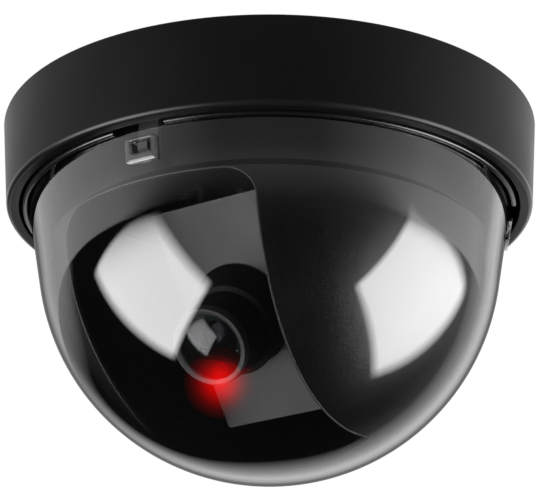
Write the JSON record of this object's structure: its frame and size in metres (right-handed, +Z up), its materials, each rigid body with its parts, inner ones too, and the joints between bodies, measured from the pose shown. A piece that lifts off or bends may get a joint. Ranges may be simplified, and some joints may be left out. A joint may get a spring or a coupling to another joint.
{
  "type": "dome security camera",
  "caption": "Ceiling dome camera: round base, latched clear dome, slotted liner and a lens module that pans, tilts and rolls.",
  "frame": {"origin": "centre of the three ceiling screws, in the face against the ceiling", "axes": "+Z up into the ceiling, the dome hangs towards -Z; -Y is the front and +X the right, seen from the front"},
  "size_m": [0.125, 0.125, 0.0845],
  "materials": {
    "black_shell": "satin moulded ABS",
    "rubber": "matt rubber",
    "steel": "zinc-plated screw",
    "latch_plastic": "moulded acetal",
    "clear_dome": "clear polished polycarbonate",
    "nylon": "natural nylon",
    "black_inner": "matt black moulding",
    "circuit_board": "solder mask on glass fibre",
    "chips": "epoxy packages and metal cans",
    "liner_black": "matt black spark-eroded texture",
    "zinc_steel": "zinc-plated sheet",
    "grey_plate": "satin grey paint",
    "module_black": "fine-textured black moulding",
    "bezel_metal": "satin turned ring",
    "front_glass": "tinted polished glass",
    "lamp_red": "red lamp resin",
    "lens_glass": "coated lens glass",
    "black_metal": "black anodised",
    "filter_glass": "coated filter",
    "brass": "turned brass"
  },
  "bodies": {
    "root": {"base_housing": "black_shell", "cable_grommet": "rubber", "catch_ring": "black_shell", "catch_ring_screws": "steel", "pan_friction_washer": "nylon", "pan_retainer": "black_inner", "pan_retainer_screws": "steel", "main_board": "circuit_board", "main_board_parts": "chips", "main_board_screws": "steel", "wiring_sockets": "nylon"},
    "pan": {"pan_disc": "black_inner", "liner": "liner_black", "liner_screws": "steel", "yoke_arm_right": "zinc_steel", "yoke_arm_left": "zinc_steel", "yoke_screws": "steel"},
    "tilt": {"carrier_plate": "grey_plate", "tilt_pivot_screws": "steel", "tilt_washers": "nylon"},
    "module": {"module_housing": "module_black", "roll_clip": "zinc_steel", "bezel_ring": "bezel_metal", "front_glass": "front_glass", "lamp_board": "circuit_board", "status_lamp": "lamp_red", "lens_holder": "module_black", "infrared_filter": "filter_glass", "image_sensor": "chips", "sensor_board": "circuit_board", "sensor_board_parts": "chips", "board_link": "nylon", "board_spacers": "brass", "board_screws": "steel", "processor_board": "circuit_board", "processor_board_parts": "chips"},
    "lens": {"lens_barrel": "module_black", "lens_front_element": "lens_glass", "lens_rear_element": "lens_glass", "lock_ring": "black_metal"},
    "dome": {"dome_cover": "clear_dome"},
    "latch_front": {"latch_hook_front": "latch_plastic"},
    "latch_right": {"latch_hook_right": "latch_plastic"},
    "latch_rear": {"latch_hook_rear": "latch_plastic"}
  },
  "joints": [
    {"name": "pan_turn", "type": "hinge", "parent": "root", "child": "pan", "pos_m": [0, 0, -0.0105], "axis": [0, 0, 1], "range_deg": [-170, 170]},
    {"name": "tilt_swing", "type": "hinge", "parent": "pan", "child": "tilt", "pos_m": [0, 0, -0.0419], "axis": [0.8387, -0.5446, 0], "range_deg": [-28, 47]},
    {"name": "module_roll", "type": "hinge", "parent": "tilt", "child": "module", "pos_m": [0, 0, -0.0419], "axis": [-0.4292, -0.6609, -0.6157], "range_deg": [-90, 90]},
    {"name": "lens_focus", "type": "hinge", "parent": "module", "child": "lens", "pos_m": [0, 0, -0.0419], "axis": [-0.4292, -0.6609, -0.6157], "range_deg": [-90, 90]},
    {"name": "dome_release", "type": "slide", "parent": "root", "child": "dome", "axis": [0, 0, -1], "range_m": [0, 0.09]},
    {"name": "latch_front_press", "type": "hinge", "parent": "root", "child": "latch_front", "pos_m": [-0.02612, -0.04523, -0.0138], "axis": [0.866, -0.5, 0], "range_deg": [0, 9.5], "stiffness_Nm_per_rad": 0.15},
    {"name": "latch_right_press", "type": "hinge", "parent": "root", "child": "latch_right", "pos_m": [0.05223, 0, -0.0138], "axis": [0, 1, 0], "range_deg": [0, 9.5], "stiffness_Nm_per_rad": 0.15},
    {"name": "latch_rear_press", "type": "hinge", "parent": "root", "child": "latch_rear", "pos_m": [-0.02612, 0.04523, -0.0138], "axis": [-0.866, -0.5, 0], "range_deg": [0, 9.5], "stiffness_Nm_per_rad": 0.15}
  ]
}
